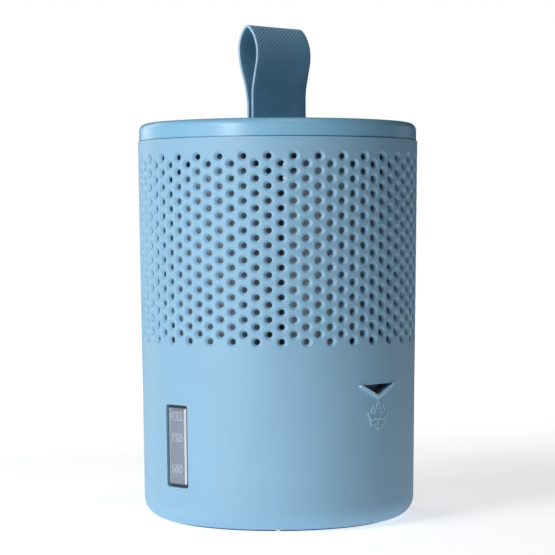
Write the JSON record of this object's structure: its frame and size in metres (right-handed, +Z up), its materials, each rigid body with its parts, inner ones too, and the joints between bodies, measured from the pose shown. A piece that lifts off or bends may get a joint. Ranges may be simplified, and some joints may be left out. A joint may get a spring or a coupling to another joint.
{
  "type": "dehumidifier",
  "caption": "Free-standing refillable desiccant dehumidifier canister with a perforated wall, water tank, level window, pouring spout, lift-off lid and webbing carry loop.",
  "frame": {"origin": "middle of the base, on the surface the canister stands on", "axes": "+Z up, -Y towards the spout, -X towards the level window"},
  "size_m": [0.1542, 0.1542, 0.2704],
  "materials": {
    "body_plastic": "pale blue fine-textured moulding",
    "lid_plastic": "pale blue satin moulding",
    "clear_plastic": "clear moulding with raised marks",
    "dark_seal": "soft dark seal",
    "inner_plastic": "slate blue moulding",
    "tray_plastic": "white moulding",
    "pouch_fabric": "non-woven white fabric",
    "granules": "white granules",
    "silicone": "translucent silicone",
    "webbing": "twill webbing with pale cut edges",
    "steel": "zinc plated steel"
  },
  "bodies": {
    "canister": {"housing": "body_plastic", "level_window": "clear_plastic", "window_gasket": "dark_seal", "window_retainer": "inner_plastic", "spout_baffle": "inner_plastic", "foot_ring": "dark_seal", "drip_tray": "tray_plastic", "tray_gasket": "silicone", "refill_pouch_left": "pouch_fabric", "refill_pouch_right": "pouch_fabric", "desiccant_left": "granules", "desiccant_right": "granules"},
    "lid": {"lid_cover": "lid_plastic", "lid_liner": "tray_plastic", "lid_seal": "silicone", "lid_screws": "steel", "strap_bar": "steel", "strap_root": "webbing"},
    "strap": {"carry_strap": "webbing"}
  },
  "joints": [
    {"name": "lid_lift", "type": "slide", "parent": "canister", "child": "lid", "axis": [0, 0, 1], "range_m": [0, 0.05]},
    {"name": "strap_fold", "type": "hinge", "parent": "lid", "child": "strap", "pos_m": [0, 0.0005, 0.2195], "axis": [1, 0, 0], "range_deg": [-75, 75], "stiffness_Nm_per_rad": 0.01, "deforming": ["strap_root"]}
  ]
}
